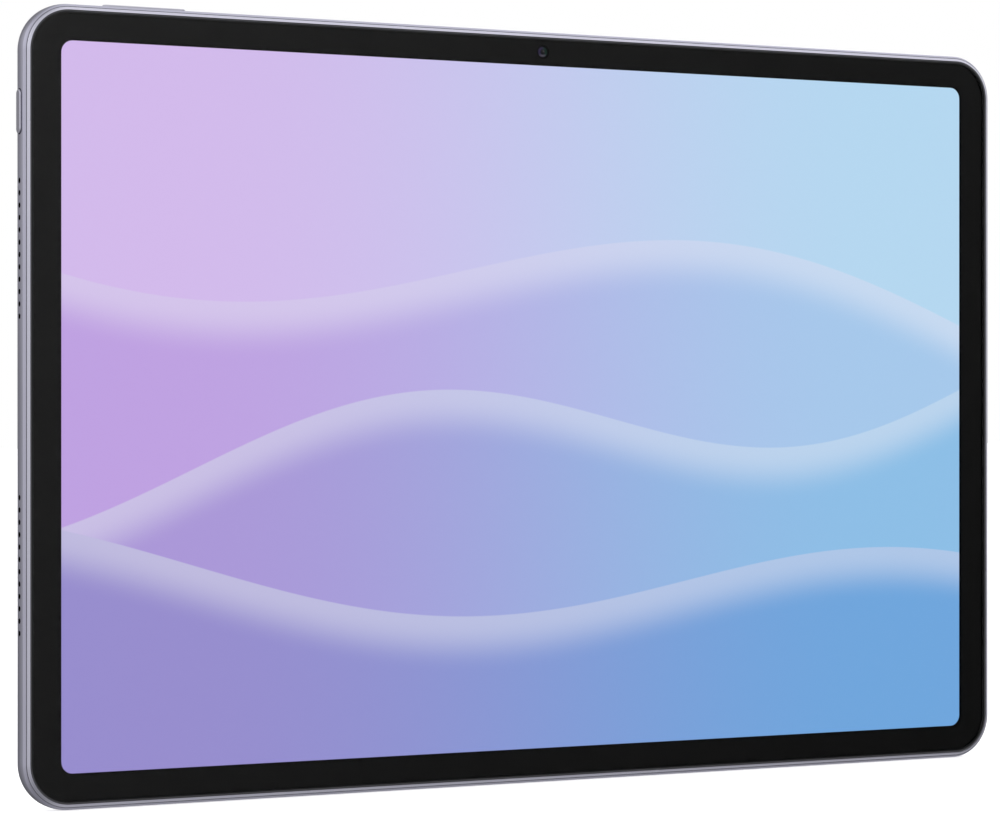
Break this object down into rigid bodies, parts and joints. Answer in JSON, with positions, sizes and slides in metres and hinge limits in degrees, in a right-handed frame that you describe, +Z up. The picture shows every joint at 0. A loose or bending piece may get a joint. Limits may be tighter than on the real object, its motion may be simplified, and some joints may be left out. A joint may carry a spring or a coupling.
{
  "type": "tablet computer",
  "caption": "Slim tablet with a metal tray body, framed glass screen, side power key, top volume rocker, speaker holes, charging port and cameras.",
  "frame": {"origin": "middle of the flat face of the lower long edge, at mid thickness, on the surface that the tablet stands on", "axes": "+X to the right as the screen is seen, +Y from the screen towards the back, +Z up along the short side"},
  "size_m": [0.2614, 0.0069, 0.1777],
  "materials": {
    "body_metal": "satin",
    "gasket": "matte",
    "front_glass": "polished",
    "black_print": "gloss",
    "clear_bond": "polished",
    "screen": "polished",
    "film": "matte",
    "light_guide": "gloss",
    "led": "gloss",
    "sheet_steel": "satin",
    "flex": "satin",
    "battery": "matte",
    "board": "satin",
    "graphite": "satin",
    "port_metal": "satin",
    "black_plastic": "matte",
    "mesh_cloth": "woven",
    "key_metal": "satin",
    "contact": "satin",
    "lens": "polished",
    "lamp": "gloss",
    "screw_steel": "satin"
  },
  "bodies": {
    "tablet": {"rear_housing": "body_metal", "glass_gasket": "gasket", "cover_glass": "front_glass", "border_mask": "black_print", "optical_bond": "clear_bond", "display_panel": "screen", "optical_films": "film", "light_guide": "light_guide", "reflector_sheet": "film", "led_bar": "led", "backlight_frame": "sheet_steel", "display_flex": "flex", "battery_left": "battery", "battery_right": "battery", "battery_board": "board", "heat_spreader": "graphite", "main_board": "board", "processor_shield": "sheet_steel", "power_shield": "sheet_steel", "usb_board": "board", "usb_shell": "port_metal", "usb_tongue": "black_plastic", "link_flex": "flex", "speaker_upper_left": "black_plastic", "speaker_lower_left": "black_plastic", "speaker_upper_right": "black_plastic", "speaker_lower_right": "black_plastic", "speaker_mesh": "mesh_cloth", "power_bracket": "sheet_steel", "power_switch": "contact", "volume_bracket": "sheet_steel", "volume_switches": "contact", "button_flex": "flex", "front_camera_module": "black_plastic", "front_camera_lens": "lens", "light_sensor": "black_plastic", "microphones": "contact", "rear_camera_ring": "key_metal", "rear_camera_glass": "lens", "rear_camera_module": "black_plastic", "flash_lamp": "lamp", "antenna_left": "flex", "antenna_right": "flex", "screws": "screw_steel"},
    "power_key": {"power_button": "key_metal"},
    "volume_key": {"volume_rocker": "key_metal"}
  },
  "joints": [
    {"name": "power_press", "type": "slide", "parent": "tablet", "child": "power_key", "axis": [1, 0, 0], "range_m": [0, 0.00025], "stiffness_N_per_m": 3000},
    {"name": "volume_rock", "type": "hinge", "parent": "tablet", "child": "volume_key", "pos_m": [-0.101, 0, 0.17535], "axis": [0, 1, 0], "range_deg": [-1.2, 1.2], "stiffness_Nm_per_rad": 0.5}
  ]
}
